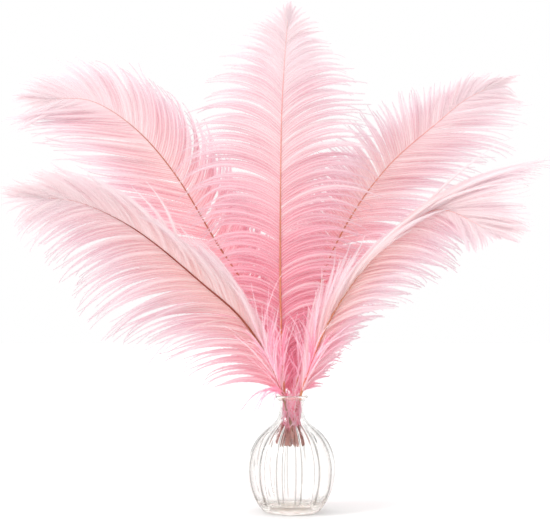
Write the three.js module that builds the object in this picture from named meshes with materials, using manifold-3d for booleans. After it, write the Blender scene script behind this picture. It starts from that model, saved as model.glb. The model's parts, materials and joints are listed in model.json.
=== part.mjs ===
// Five ostrich plumes standing in a small clear vase of ribbed glass.
//
// Millimetres, +Z up. The origin is the middle of the vase's flat base, and the piece faces -Y.
// The vase is turned on a lathe and then fluted. Each plume is one solid: a tapering shaft, and the two
// thin vanes that its barbs spread on either side, out to the tips of the barbs.
import * as THREE from "three";
import { mergeVertices } from "three/addons/utils/BufferGeometryUtils.js";
import Module from "manifold-3d";

const wasm = await Module();
wasm.setup();

// The vase: a melon-shaped body, a narrow neck and a rolled rim.
const VASE_HEIGHT = 105;
const BASE_RADIUS = 23;
const HEEL_ROUND = 2;
const BELLY_RADIUS = 39.7;
const BELLY_HEIGHT = 39;
const LOWER_BELLY_REACH = 50; // how far below the belly its lower curve would close on the axis
const UPPER_BELLY_REACH = 43.5;
const SHOULDER = 76; // up to here the body follows its ellipse, and the bend into the neck starts
const NECK_RADIUS = 11.6;
const NECK_BEND = 82; // the height that the bend heads for on the neck's straight line
const NECK_LOW = 88; // where the bend ends
const NECK_HIGH = 96;
const FLARE_LEAN = 0.4; // how far the neck leans out before it turns to the rim
const RIM_RADIUS = 15.1;
const RIM_ROUND = 1.6;
const GLASS_WALL = 2.2;
const NECK_WALL = 1.3;
const GLASS_FLOOR = 5.5;
const FLOOR_CORNER = 8; // how far the glass thickens inwards where the wall meets the floor
const FLOOR_CORNER_RISE = 5;
const MOUTH_RADIUS = 12.4;
const BEND_STEPS = 2;
const RIM_STEPS = 3;
const OUTER_BELLY_STEPS = 9;
const INNER_BELLY_STEPS = 6;

// The flutes that part the glass into lobes.
const LOBES = 14;
const STEPS_IN_A_LOBE = 4;
const FLUTE_DEPTH = 1.1;
const FLUTE_LOW = 4;
const FLUTE_HIGH = 76;
const FLUTE_FADE = 8;
const FIRST_FLUTE = 9.2; // degrees round from the front, towards +X

// The plumes.
const QUILL_RADIUS = 1.3;
const SHAFT_TIP_RADIUS = 0.7;
const SHAFT_SIDES = 6;
const QUILL_STEPS = 3;
const VANE_THICKNESS = 0.8;
const VANE_STEPS = 16;
const VANE_STRIPS = 6; // across both vanes
const VANE_DROP = 0.07; // how far a vane's edge falls back, as a share of its width

// Each plume's spine runs from the cut end of the quill to the tip of the last barbs, and barbed is the share
// of it below the first barbs. Along the barbed part, at even steps up to the tip, width is how far the barbs
// reach in a straight line and lean is their angle from the spine, in degrees. Left and right are as the
// plume is seen from the front.
const PLUMES = {
  feather_centre: {
    spine: [
      [-1.3, 0.2, 58.2],
      [-4, 0.4, 84.2],
      [-6.5, 0.9, 105],
      [-9.6, 6, 172],
      [-10, 14, 257],
      [-9, 20, 349],
      [-6.6, 21, 400],
      [-4.3, 18, 432],
      [-0.7, 15, 457.4],
    ],
    barbed: 0.14,
    left: { width: [30, 54, 77, 94, 93, 55, 4], lean: [49, 76, 87, 87, 72, 44, 60] },
    right: { width: [30, 55, 77, 91, 89, 56, 4], lean: [49, 73, 84, 80, 65, 46, 60] },
  },
  feather_rear_left: {
    spine: [
      [10.5, 5.9, 57.7],
      [1.5, 6.2, 83.7],
      [-5.6, 7, 105],
      [-19.4, 17, 153.5],
      [-38.7, 30, 197],
      [-68.5, 42, 242],
      [-106.4, 57, 304],
      [-145, 70, 349],
      [-187.3, 80, 376.7],
      [-228.8, 85, 380.5],
      [-267.6, 84, 369],
    ],
    barbed: 0.125,
    left: { width: [34, 75, 96, 107, 100, 65, 5], lean: [58, 58, 51, 42, 34, 24, 60] },
    right: { width: [35, 61, 71, 75, 71, 52, 5], lean: [48, 49, 43, 33, 24, 13, 60] },
  },
  feather_rear_right: {
    spine: [
      [-12.1, 3.1, 57.9],
      [-4.4, 3.3, 84],
      [2, 3.8, 105],
      [14.2, 11, 158.4],
      [30.9, 25, 217],
      [56.3, 39, 268],
      [92.7, 54, 316],
      [140.3, 67, 357.6],
      [164.5, 73, 377.5],
      [188.6, 77, 390],
      [220, 79, 381],
    ],
    barbed: 0.12,
    left: { width: [32, 56, 57, 57, 47, 29, 4], lean: [50, 72, 78, 75, 65, 40, 60] },
    right: { width: [29, 58, 72, 85, 89, 62, 5], lean: [60, 72, 70, 55, 43, 25, 60] },
  },
  feather_front_left: {
    spine: [
      [4.9, -5.6, 58.6],
      [-2.3, -5.8, 84.8],
      [-7.6, -6, 105],
      [-21.9, -14, 140],
      [-45.7, -28, 176],
      [-78, -42, 205.5],
      [-118.5, -60, 240.5],
      [-148.7, -73, 261],
      [-181.9, -86, 275.6],
      [-212.6, -97, 279.5],
      [-241.7, -104, 276.7],
    ],
    barbed: 0.15,
    left: { width: [35, 77, 101, 79, 65, 47, 5], lean: [52, 53, 57, 61, 56, 34, 60] },
    right: { width: [18, 29, 34, 32, 29, 28, 5], lean: [25, 42, 52, 54, 44, 20, 60] },
  },
  feather_front_right: {
    spine: [
      [-6.7, -2.7, 58.4],
      [1.8, -2.8, 84.5],
      [8.2, -3.5, 105],
      [20, -12, 141.7],
      [36.5, -26, 178.7],
      [61.4, -40, 216.8],
      [91.8, -56, 250.7],
      [115, -67, 266.8],
      [134.7, -76, 268.3],
      [164.1, -87, 252.7],
      [178.1, -90, 243.3],
    ],
    barbed: 0.165,
    left: { width: [20, 28, 30, 27, 26, 90, 10], lean: [25, 35, 40, 37, 22, 40, 60] },
    right: { width: [37, 64, 70, 69, 60, 38, 5], lean: [36, 42, 51, 60, 66, 50, 60] },
  },
};

const WELD_DISTANCE = 1e-4;
const GLASS = { color: 0xf4f1ee, roughness: 0.05, metalness: 0 };
const DYED_PINK = { color: 0xf7b9c4, roughness: 0.8, metalness: 0 };

// A geometry with only its places, and its shared corners merged.
function weld(geometry) {
  geometry.deleteAttribute("normal");
  geometry.deleteAttribute("uv");
  return mergeVertices(geometry, WELD_DISTANCE);
}

function toSolid(geometry) {
  const welded = weld(geometry);
  const mesh = new wasm.Mesh({
    numProp: 3,
    vertProperties: welded.attributes.position.array,
    triVerts: new Uint32Array(welded.index.array),
  });
  return new wasm.Manifold(mesh);
}

function toGeometry(solid) {
  const { vertProperties, triVerts } = solid.getMesh();
  const geometry = new THREE.BufferGeometry();
  geometry.setAttribute("position", new THREE.BufferAttribute(vertProperties, 3));
  geometry.setIndex(new THREE.BufferAttribute(triVerts, 1));
  geometry.computeVertexNormals();
  return geometry;
}

function named(name, geometry, finish) {
  const mesh = new THREE.Mesh(geometry, new THREE.MeshStandardMaterial(finish));
  mesh.name = name;
  return mesh;
}

// The radius of the outside of the body at a height, from its two ellipses.
function bellyRadius(z) {
  const reach = z < BELLY_HEIGHT ? LOWER_BELLY_REACH : UPPER_BELLY_REACH;
  return BELLY_RADIUS * Math.sqrt(1 - ((z - BELLY_HEIGHT) / reach) ** 2);
}

// Points down or up a stretch of the body, at a distance inside its outer face.
function bellyPoints(from, to, steps, inset) {
  const points = [];
  for (let i = 0; i <= steps; i++) {
    const z = THREE.MathUtils.lerp(from, to, i / steps);
    points.push(new THREE.Vector2(bellyRadius(z) - inset, z));
  }
  return points;
}

// The section of the glass, from the middle of the base, up the outside, over the rim and down the inside.
function vaseSection() {
  const at = (x, y) => new THREE.Vector2(x, y);
  const heel = new THREE.QuadraticBezierCurve(
    at(BASE_RADIUS, 0),
    at(bellyRadius(0), 0),
    at(bellyRadius(HEEL_ROUND), HEEL_ROUND),
  );
  const outerNeck = new THREE.QuadraticBezierCurve(
    at(bellyRadius(SHOULDER), SHOULDER),
    at(NECK_RADIUS, NECK_BEND),
    at(NECK_RADIUS, NECK_LOW),
  );
  const flare = new THREE.QuadraticBezierCurve(
    at(NECK_RADIUS, NECK_HIGH),
    at(NECK_RADIUS + FLARE_LEAN, VASE_HEIGHT - 2 * RIM_ROUND),
    at(RIM_RADIUS - RIM_ROUND, VASE_HEIGHT - 2 * RIM_ROUND),
  );
  const rim = new THREE.EllipseCurve(
    RIM_RADIUS - RIM_ROUND,
    VASE_HEIGHT - RIM_ROUND,
    RIM_ROUND,
    RIM_ROUND,
    -Math.PI / 2,
    Math.PI / 2,
  );
  const innerNeck = new THREE.QuadraticBezierCurve(
    at(NECK_RADIUS - NECK_WALL, NECK_LOW),
    at(NECK_RADIUS - NECK_WALL, NECK_BEND),
    at(bellyRadius(SHOULDER) - GLASS_WALL, SHOULDER),
  );
  const innerTop = THREE.MathUtils.lerp(SHOULDER, GLASS_FLOOR, 1 / (INNER_BELLY_STEPS + 1));
  const innerLow = GLASS_FLOOR + FLOOR_CORNER_RISE;
  return [
    at(0, 0),
    ...heel.getPoints(BEND_STEPS),
    ...bellyPoints(HEEL_ROUND, SHOULDER, OUTER_BELLY_STEPS, 0).slice(1, -1),
    ...outerNeck.getPoints(BEND_STEPS),
    ...flare.getPoints(BEND_STEPS),
    ...rim.getPoints(RIM_STEPS).slice(1),
    at(MOUTH_RADIUS, VASE_HEIGHT - RIM_ROUND),
    at(NECK_RADIUS - NECK_WALL, NECK_HIGH),
    ...innerNeck.getPoints(BEND_STEPS),
    ...bellyPoints(innerTop, innerLow, INNER_BELLY_STEPS, GLASS_WALL),
    at(bellyRadius(GLASS_FLOOR) - GLASS_WALL - FLOOR_CORNER, GLASS_FLOOR),
    at(0, GLASS_FLOOR),
  ];
}

// How strongly the flutes press in at a height: full on the body, and fading towards the neck and the base.
function fluteStrength(z) {
  const fadeIn = THREE.MathUtils.smoothstep(z, FLUTE_LOW, FLUTE_LOW + FLUTE_FADE);
  const fadeOut = 1 - THREE.MathUtils.smoothstep(z, FLUTE_HIGH - FLUTE_FADE, FLUTE_HIGH);
  return fadeIn * fadeOut;
}

function vase() {
  const geometry = new THREE.LatheGeometry(vaseSection(), LOBES * STEPS_IN_A_LOBE);
  geometry.rotateX(Math.PI / 2);
  geometry.rotateZ(THREE.MathUtils.degToRad(FIRST_FLUTE));
  const places = geometry.attributes.position;
  const first = THREE.MathUtils.degToRad(FIRST_FLUTE - 90);
  for (let i = 0; i < places.count; i++) {
    const x = places.getX(i);
    const y = places.getY(i);
    const radius = Math.hypot(x, y);
    const turn = (Math.atan2(y, x) - first) * LOBES;
    const inFlute = Math.max(0, Math.cos(turn)) ** 2;
    const pressed = FLUTE_DEPTH * inFlute * fluteStrength(places.getZ(i));
    const scale = radius > pressed ? 1 - pressed / radius : 1;
    places.setXY(i, x * scale, y * scale);
  }
  return named("vase", toGeometry(toSolid(geometry)), GLASS);
}

// The value at a share of the way along a list of evenly spaced values, on a smooth curve through them.
function along(values, share) {
  const curve = new THREE.SplineCurve(values.map((value, i) => new THREE.Vector2(i, value)));
  return curve.getPoint(share).y;
}

// A plume's own directions at a share of its spine: along the shaft, out of its face, and to its right.
function directions(spine, share) {
  const forward = spine.getTangentAt(share);
  const face = new THREE.Vector3(0, -1, 0).addScaledVector(forward, forward.y).normalize();
  const right = new THREE.Vector3().crossVectors(forward, face);
  return { forward, face, right };
}

// The shaft's rings stand at the same shares of the spine as the vanes' rows, so that their faces stay
// parallel where they meet. It stops a row short of the tip, where only barbs go on.
function shaftSolid(spine, barbed) {
  const rings = QUILL_STEPS + VANE_STEPS - 1;
  const geometry = new THREE.CylinderGeometry(1, 1, 1, SHAFT_SIDES, rings);
  const places = geometry.attributes.position;
  for (let i = 0; i < places.count; i++) {
    const ring = Math.round((places.getY(i) + 0.5) * rings);
    const quillShare = (barbed * ring) / QUILL_STEPS;
    const vaneShare = THREE.MathUtils.lerp(barbed, 1, (ring - QUILL_STEPS) / VANE_STEPS);
    const share = ring < QUILL_STEPS ? quillShare : vaneShare;
    const { face, right } = directions(spine, share);
    const radius = THREE.MathUtils.lerp(QUILL_RADIUS, SHAFT_TIP_RADIUS, share);
    const place = spine.getPointAt(share);
    place.addScaledVector(right, places.getX(i) * radius);
    place.addScaledVector(face, places.getZ(i) * radius);
    places.setXYZ(i, place.x, place.y, place.z);
  }
  return toSolid(geometry);
}

function vaneSolid(spine, plume) {
  const geometry = new THREE.BoxGeometry(2, 1, VANE_THICKNESS, VANE_STRIPS, VANE_STEPS, 1);
  const places = geometry.attributes.position;
  for (let i = 0; i < places.count; i++) {
    const across = places.getX(i);
    const up = places.getY(i) + 0.5;
    const share = THREE.MathUtils.lerp(plume.barbed, 1, up);
    const { forward, face, right } = directions(spine, share);
    const side = across < 0 ? plume.left : plume.right;
    const lean = THREE.MathUtils.degToRad(along(side.lean, up));
    const width = along(side.width, up);
    const out = Math.abs(across) * width;
    const place = spine.getPointAt(share);
    place.addScaledVector(forward, out * Math.cos(lean));
    place.addScaledVector(right, out * Math.sin(lean) * Math.sign(across));
    place.addScaledVector(face, places.getZ(i) - VANE_DROP * width * across * across);
    places.setXYZ(i, place.x, place.y, place.z);
  }
  return toSolid(geometry);
}

function plumeMesh(name, plume) {
  const spine = new THREE.CatmullRomCurve3(plume.spine.map((point) => new THREE.Vector3(...point)));
  const solid = shaftSolid(spine, plume.barbed).add(vaneSolid(spine, plume));
  return named(name, toGeometry(solid), DYED_PINK);
}

const object = new THREE.Group();
object.add(vase());
for (const [name, plume] of Object.entries(PLUMES)) {
  object.add(plumeMesh(name, plume));
}

export default object;
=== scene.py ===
# %% [markdown]
# # Five dyed ostrich plumes in a ribbed glass bud vase
# The object is a small bouquet: five plumes, each a tapering shaft with thousands of soft barbs, held by the
# narrow neck of a clear vase. The frame holds the right sizes and places, and this lesson gives each piece
# its looks: blown glass first, then the shafts, then the barbs and the down.

# %% Load the fixed frame
import json
import math

import bmesh
import bpy
import numpy as np
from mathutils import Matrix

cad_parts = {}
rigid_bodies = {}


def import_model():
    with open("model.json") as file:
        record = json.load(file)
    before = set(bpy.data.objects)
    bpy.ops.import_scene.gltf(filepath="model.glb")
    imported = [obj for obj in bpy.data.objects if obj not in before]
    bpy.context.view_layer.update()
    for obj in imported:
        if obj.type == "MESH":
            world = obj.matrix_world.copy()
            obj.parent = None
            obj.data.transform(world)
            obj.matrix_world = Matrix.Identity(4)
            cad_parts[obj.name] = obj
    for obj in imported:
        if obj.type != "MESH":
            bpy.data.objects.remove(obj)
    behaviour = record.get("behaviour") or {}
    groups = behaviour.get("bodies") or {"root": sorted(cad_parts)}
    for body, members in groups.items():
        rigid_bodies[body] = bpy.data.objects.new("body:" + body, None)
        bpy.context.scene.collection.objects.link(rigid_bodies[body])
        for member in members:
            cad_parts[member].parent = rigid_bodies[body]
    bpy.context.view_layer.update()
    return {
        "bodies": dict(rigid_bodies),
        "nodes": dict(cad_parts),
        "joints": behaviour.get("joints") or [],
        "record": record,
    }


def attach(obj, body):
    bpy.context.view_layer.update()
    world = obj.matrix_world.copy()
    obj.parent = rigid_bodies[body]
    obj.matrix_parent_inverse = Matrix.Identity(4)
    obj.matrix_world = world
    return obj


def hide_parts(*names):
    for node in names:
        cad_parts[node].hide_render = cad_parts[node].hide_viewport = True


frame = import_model()
MM = 0.001


# %% [markdown]
# ## The studio
# A level camera with a long lens keeps the plumes in proportion. The backdrop is plain white. Clear glass
# shows only what it bends, so the light around it is white with a few dim upright bands, as a photographer
# sets black cards beside a bottle. They add to the thin grey lines along the edges of the glass, which its
# material also paints in as painted shade.

# %% Camera
CAMERA_PLACE = (-0.0148, -1.5, 0.226)
LENS_MM = 109.09

bpy.ops.object.select_all(action="DESELECT")
bpy.ops.object.camera_add(location=CAMERA_PLACE, rotation=(math.pi / 2, 0, 0))
camera = bpy.context.object
camera.data.lens = LENS_MM
bpy.context.scene.camera = camera
bpy.context.scene.view_settings.view_transform = "Standard"
print("camera", CAMERA_PLACE, "lens", LENS_MM)

# %% Room for light to bounce
# Pale threads pass light on many times, and so does the thick glass of a rim or a foot.
BOUNCES = {"max_bounces": 24, "diffuse_bounces": 8, "glossy_bounces": 24, "transmission_bounces": 24}

for setting, count in BOUNCES.items():
    setattr(bpy.context.scene.cycles, setting, count)
print("bounces", BOUNCES)


# %% Small helpers for node trees
def add_node(tree, kind, **settings):
    """A new node with settings of its own, such as its operation."""
    node = tree.nodes.new(kind)
    for name, value in settings.items():
        setattr(node, name, value)
    return node


def set_inputs(node, values):
    """Sets inputs of a node by their names."""
    for name, value in values.items():
        node.inputs[name].default_value = value


def maths(tree, operation, *values, clamp=False):
    """A Math node on sockets or numbers, given back as its output."""
    node = add_node(tree, "ShaderNodeMath", operation=operation, use_clamp=clamp)
    for socket, value in zip(node.inputs, values):
        if isinstance(value, (int, float)):
            socket.default_value = value
        else:
            tree.links.new(value, socket)
    return node.outputs[0]


def rise_between(tree, value, low, high):
    """A value that goes from 0 at low to 1 at high."""
    return maths(tree, "MULTIPLY_ADD", value, 1 / (high - low), -low / (high - low), clamp=True)


def blend_colours(tree, factor, first, second, way="MIX"):
    """A Mix node on two colours, each a socket or a triple, given back as its output."""
    node = add_node(tree, "ShaderNodeMix", data_type="RGBA", blend_type=way)
    for socket, value in ((node.inputs[0], factor), (node.inputs[6], first), (node.inputs[7], second)):
        if isinstance(value, (int, float)):
            socket.default_value = value
        elif isinstance(value, tuple):
            socket.default_value = (*value, 1)
        else:
            tree.links.new(value, socket)
    return node.outputs[2]


def ramp(tree, factor, stops):
    """A colour ramp through (place, colour) stops, given back as its output."""
    node = tree.nodes.new("ShaderNodeValToRGB")
    tree.links.new(factor, node.inputs[0])
    elements = node.color_ramp.elements
    while len(elements) < len(stops):
        elements.new(0.5)
    for element, (place, colour) in zip(elements, stops):
        element.position = place
        element.color = (*colour, 1)
    return node.outputs[0]


def new_material(name):
    """An empty material with its tree, its Principled shader and its output."""
    material = bpy.data.materials.new(name)
    material.use_nodes = True
    tree = material.node_tree
    tree.nodes.clear()
    shader = tree.nodes.new("ShaderNodeBsdfPrincipled")
    output = tree.nodes.new("ShaderNodeOutputMaterial")
    tree.links.new(shader.outputs[0], output.inputs["Surface"])
    return material, tree, shader, output


# %% Light from all round
WORLD_STRENGTH = 1.12
BANDS = 8  # dim bands round the horizon
BAND_DARKNESS = 0.7
BAND_SHARPNESS = 2.4
BAND_FADE = 1.6  # how fast the bands fade with height

world = bpy.data.worlds.new("studio")
bpy.context.scene.world = world
world.use_nodes = True
tree = world.node_tree
tree.nodes.clear()
direction = add_node(tree, "ShaderNodeSeparateXYZ")
tree.links.new(add_node(tree, "ShaderNodeTexCoord").outputs["Generated"], direction.inputs[0])
azimuth = maths(tree, "ARCTAN2", direction.outputs[0], direction.outputs[1])
wave = maths(tree, "COSINE", maths(tree, "ADD", maths(tree, "MULTIPLY", azimuth, BANDS), math.pi))
band = maths(tree, "POWER", maths(tree, "MAXIMUM", wave, 0.0), BAND_SHARPNESS)
low = maths(tree, "SUBTRACT", 1.0, maths(tree, "MULTIPLY", direction.outputs[2], BAND_FADE), clamp=True)
shade = maths(tree, "MULTIPLY", maths(tree, "MULTIPLY", band, low), BAND_DARKNESS)
around = add_node(tree, "ShaderNodeBackground")
tree.links.new(blend_colours(tree, shade, (1, 1, 1), (0, 0, 0)), around.inputs[0])
around.inputs[1].default_value = WORLD_STRENGTH
backdrop = add_node(tree, "ShaderNodeBackground")
backdrop.inputs[0].default_value = (1, 1, 1, 1)
seen = add_node(tree, "ShaderNodeMixShader")
tree.links.new(add_node(tree, "ShaderNodeLightPath").outputs["Is Camera Ray"], seen.inputs[0])
tree.links.new(around.outputs[0], seen.inputs[1])
tree.links.new(backdrop.outputs[0], seen.inputs[2])
tree.links.new(seen.outputs[0], add_node(tree, "ShaderNodeOutputWorld").inputs[0])
print("world with", BANDS, "dim bands")


# %% One broad light from the upper left
KEY_FROM = (-0.8, -0.45, 0.62)
KEY_STRENGTH = 1.3
KEY_SPREAD = math.radians(22)
KEY_COLOUR = (1.0, 0.985, 0.965)

bpy.ops.object.light_add(type="SUN", location=(-1, -1, 1.5))
key = bpy.context.object
key.data.energy = KEY_STRENGTH
key.data.angle = KEY_SPREAD
key.data.color = KEY_COLOUR
towards = np.array(KEY_FROM) / np.linalg.norm(KEY_FROM)
key.rotation_euler = (math.acos(towards[2]), 0, math.atan2(towards[1], towards[0]) + math.pi / 2)
print("key light from", KEY_FROM)


# %% Floor
FLOOR_SIZE = 6.0
FLOOR_GRAIN = 40
FLOOR_TINTS = ((0.955, 0.945, 0.94), (0.965, 0.96, 0.955))

bpy.ops.mesh.primitive_plane_add(size=FLOOR_SIZE)
floor = bpy.context.object
floor.name = "studio_floor"
material, tree, shader, output = new_material("pale_floor")
grain = add_node(tree, "ShaderNodeTexNoise")
grain.inputs["Scale"].default_value = FLOOR_GRAIN
tint = blend_colours(tree, grain.outputs[0], *FLOOR_TINTS)
tree.links.new(tint, shader.inputs["Base Color"])
set_inputs(shader, {"Roughness": 0.9, "Specular IOR Level": 0.1})
floor.data.materials.append(material)
print("floor", FLOOR_SIZE, "m")


# %% [markdown]
# ## The vase
# A melon-shaped bottle of clear glass, blown into a ribbed mould: fourteen full lobes with a narrow flute
# between each two, a thick foot, a plain waist and a rolled rim. It could be spun from its section, but the
# flutes are easier to press in on rings, so a small disc is extruded ring by ring: out along the foot, up the
# outside, over the rim, and down the inside to the glass floor.

# %% Sizes of the glass, in millimetres
BASE_RADIUS = 23
HEEL_ROUND = 2
BELLY_RADIUS = 39.7
BELLY_HEIGHT = 39
LOWER_BELLY_REACH = 50
UPPER_BELLY_REACH = 43.5
SHOULDER = 76
NECK_RADIUS = 11.6
NECK_LOW = 84
NECK_HIGH = 96
RIM_RADIUS = 15.1
RIM_ROUND = 1.6
VASE_HEIGHT = 105
GLASS_WALL = 2.2
NECK_WALL = 1.3
GLASS_FLOOR = 5.5
PUSH_UP = 1.4  # how far the middle of the foot is raised, so that it stands on a ring
START_RADIUS = 6  # the disc in the middle of the foot
FOOT_RINGS = [(12, PUSH_UP), (17, PUSH_UP * 0.7), (19.5, 0.15), (BASE_RADIUS - 2, 0.0)]
MOUTH_FLARE = 0.9  # how much wider the neck is inside at the rim
LOBES = 14
LOBE_ANGLE = 360 / LOBES
FIRST_FLUTE = math.radians(9.2 - 90)
TURN_SIGN = -1  # the rotate operator turns the other way when it has no window


def belly_radius(z):
    """The radius of the outside of the body at a height, from its two half ellipses."""
    reach = LOWER_BELLY_REACH if z < BELLY_HEIGHT else UPPER_BELLY_REACH
    return BELLY_RADIUS * math.sqrt(1 - ((z - BELLY_HEIGHT) / reach) ** 2)


def arc_between(start, bend, end, steps):
    """Points on a smooth bend from start to end that heads for the middle point, without its start."""
    points = []
    for i in range(1, steps + 1):
        t = i / steps
        weights = ((1 - t) ** 2, 2 * t * (1 - t), t * t)
        points.append(tuple(sum(w * p[k] for w, p in zip(weights, (start, bend, end))) for k in (0, 1)))
    return points


print("the glass is", VASE_HEIGHT, "mm tall and", 2 * BELLY_RADIUS, "mm wide, with", LOBES, "lobes")

# %% The section, as radius and height
def outer_rings():
    """The rings from the foot up the outside and over the rim."""
    shoulder = (belly_radius(SHOULDER), SHOULDER)
    heel_end = (belly_radius(HEEL_ROUND), HEEL_ROUND)
    rings = list(FOOT_RINGS)
    rings += arc_between((BASE_RADIUS - 2, 0), (belly_radius(0), 0), heel_end, 3)
    rings += [(belly_radius(z), z) for z in np.linspace(HEEL_ROUND, SHOULDER, 17)[1:]]
    rings += arc_between(shoulder, (NECK_RADIUS, NECK_LOW - 2), (NECK_RADIUS, NECK_LOW + 4), 5)
    lip = VASE_HEIGHT - 2 * RIM_ROUND
    rings += arc_between((NECK_RADIUS, NECK_HIGH), (NECK_RADIUS + 0.4, lip), (RIM_RADIUS - RIM_ROUND, lip), 3)
    for turn in np.radians([-45, 0, 45, 90, 135]):
        out, up = RIM_ROUND * math.cos(turn), RIM_ROUND * math.sin(turn)
        rings.append((RIM_RADIUS - RIM_ROUND + out, VASE_HEIGHT - RIM_ROUND + up))
    return rings


def inner_rings():
    """The rings from the rim down the inside to the glass floor."""
    neck = NECK_RADIUS - NECK_WALL
    rings = [(neck + MOUTH_FLARE, VASE_HEIGHT - 2 * RIM_ROUND), (neck, NECK_HIGH), (neck, NECK_LOW + 4)]
    body_top = (belly_radius(SHOULDER) - GLASS_WALL, SHOULDER - 1)
    rings += arc_between(rings[-1], (neck, NECK_LOW - 3), body_top, 4)
    rings += [(belly_radius(z) - GLASS_WALL, z) for z in np.linspace(SHOULDER - 4, GLASS_FLOOR + 7, 12)]
    corner = (belly_radius(GLASS_FLOOR) - GLASS_WALL - 2, GLASS_FLOOR)
    rings += arc_between(rings[-1], corner, (18, GLASS_FLOOR), 4)
    return rings + [(12, GLASS_FLOOR), (START_RADIUS, GLASS_FLOOR)]


outer, inner = outer_rings(), inner_rings()
print("glass section of", len(outer), "rings outside and", len(inner), "inside")

# %% A disc whose edge has the columns of the lobes
COLUMN_ANGLES = (0, 3.5, 4.4, 8.5, 12.86, 17.21, 21.31, 22.21)  # degrees from the middle of a flute
COLUMN_PRESS = (1.2, 1.2, 0, 0, 0, 0, 0, 1.2)  # millimetres that each column sits in
COLUMNS = len(COLUMN_ANGLES)
EVEN_STEP = 360 / (LOBES * COLUMNS)
SAME_ANGLE = 0.01  # degrees within which two angles count as one
SAME_PLACE = 0.02  # millimetres within which two places count as one

bpy.ops.object.select_all(action="DESELECT")
bpy.ops.mesh.primitive_circle_add(
    vertices=LOBES * COLUMNS, radius=START_RADIUS * MM, fill_type="TRIFAN", location=(0, 0, PUSH_UP * MM)
)
bpy.ops.object.transform_apply(location=True)
vase = bpy.context.object
vase.name = "vase_glass_body"
bpy.ops.object.mode_set(mode="EDIT")
bpy.ops.mesh.select_mode(type="VERT")


def select_vertices(piece, wanted):
    """Selects the vertices in edit mode whose place in millimetres the test wants."""
    shape = bmesh.from_edit_mesh(piece.data)
    for vertex in shape.verts:
        vertex.select = wanted(*(vertex.co / MM))
    shape.select_flush_mode()
    bmesh.update_edit_mesh(piece.data)


def turn_of(x, y):
    """The angle round the axis in degrees, from +X."""
    return math.degrees(math.atan2(y, x)) % 360


for column, angle in enumerate(COLUMN_ANGLES):
    even = column * EVEN_STEP

    def in_column(x, y, z):
        off = (turn_of(x, y) - even + LOBE_ANGLE / 2) % LOBE_ANGLE - LOBE_ANGLE / 2
        return math.hypot(x, y) > 1 and abs(off) < SAME_ANGLE

    if abs(angle - even) > SAME_ANGLE:
        select_vertices(vase, in_column)
        turn = math.radians(TURN_SIGN * (angle - even))
        bpy.ops.transform.rotate(value=turn, orient_axis="Z", center_override=(0, 0, 0))
print("disc of", LOBES * COLUMNS, "columns")

# %% Extrude the rings
bpy.ops.mesh.select_all(action="SELECT")
bpy.ops.mesh.region_to_loop()
radius, height = START_RADIUS, PUSH_UP
for ring_radius, ring_height in outer + inner:
    bpy.ops.mesh.extrude_region_move(TRANSFORM_OT_translate={"value": (0, 0, (ring_height - height) * MM)})
    wider = ring_radius / radius
    bpy.ops.transform.resize(value=(wider, wider, 1))
    radius, height = ring_radius, ring_height
bpy.ops.mesh.extrude_region_move(TRANSFORM_OT_translate={"value": (0, 0, 0)})
bpy.ops.mesh.merge(type="CENTER")
print("rings extruded and closed")

# %% Press the flutes in
FLUTE_LOW = 3
FLUTE_HIGH = 82
FLUTE_FADE = 8
FAINTEST = 0.01


def flute_strength(z):
    """Full on the body, fading out below at the foot and above at the waist."""
    rise = min(max((z - FLUTE_LOW) / FLUTE_FADE, 0), 1)
    fall = min(max((FLUTE_HIGH - z) / FLUTE_FADE, 0), 1)
    return rise * rise * (3 - 2 * rise) * fall * fall * (3 - 2 * fall)


def column_at(x, y):
    """Which of a lobe's columns a place is on."""
    off = turn_of(x, y) % LOBE_ANGLE
    gaps = [min(abs(off - angle), LOBE_ANGLE - abs(off - angle)) for angle in COLUMN_ANGLES]
    return gaps.index(min(gaps))


for ring_radius, ring_height in outer:
    strength = flute_strength(ring_height)
    if strength < FAINTEST or ring_radius < NECK_RADIUS:
        continue
    for press in sorted({press for press in COLUMN_PRESS if press > 0}):

        def pressed(x, y, z):
            on_ring = abs(math.hypot(x, y) - ring_radius) < SAME_PLACE and abs(z - ring_height) < SAME_PLACE
            return on_ring and COLUMN_PRESS[column_at(x, y)] == press

        select_vertices(vase, pressed)
        shrink = 1 - press * strength / ring_radius
        bpy.ops.transform.resize(value=(shrink, shrink, 1))
print("flutes pressed in")

# %% Turn the first flute to its place and smooth the glass
bpy.ops.mesh.select_all(action="SELECT")
bpy.ops.mesh.normals_make_consistent(inside=False)
bpy.ops.object.mode_set(mode="OBJECT")
vase.rotation_euler = (0, 0, FIRST_FLUTE)
bpy.ops.object.transform_apply(rotation=True)
bpy.ops.object.modifier_add(type="SUBSURF")
vase.modifiers[-1].levels = vase.modifiers[-1].render_levels = 1
bpy.ops.object.modifier_apply(modifier=vase.modifiers[-1].name)
bpy.ops.object.shade_smooth()
print("vase faces", len(vase.data.polygons))
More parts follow.
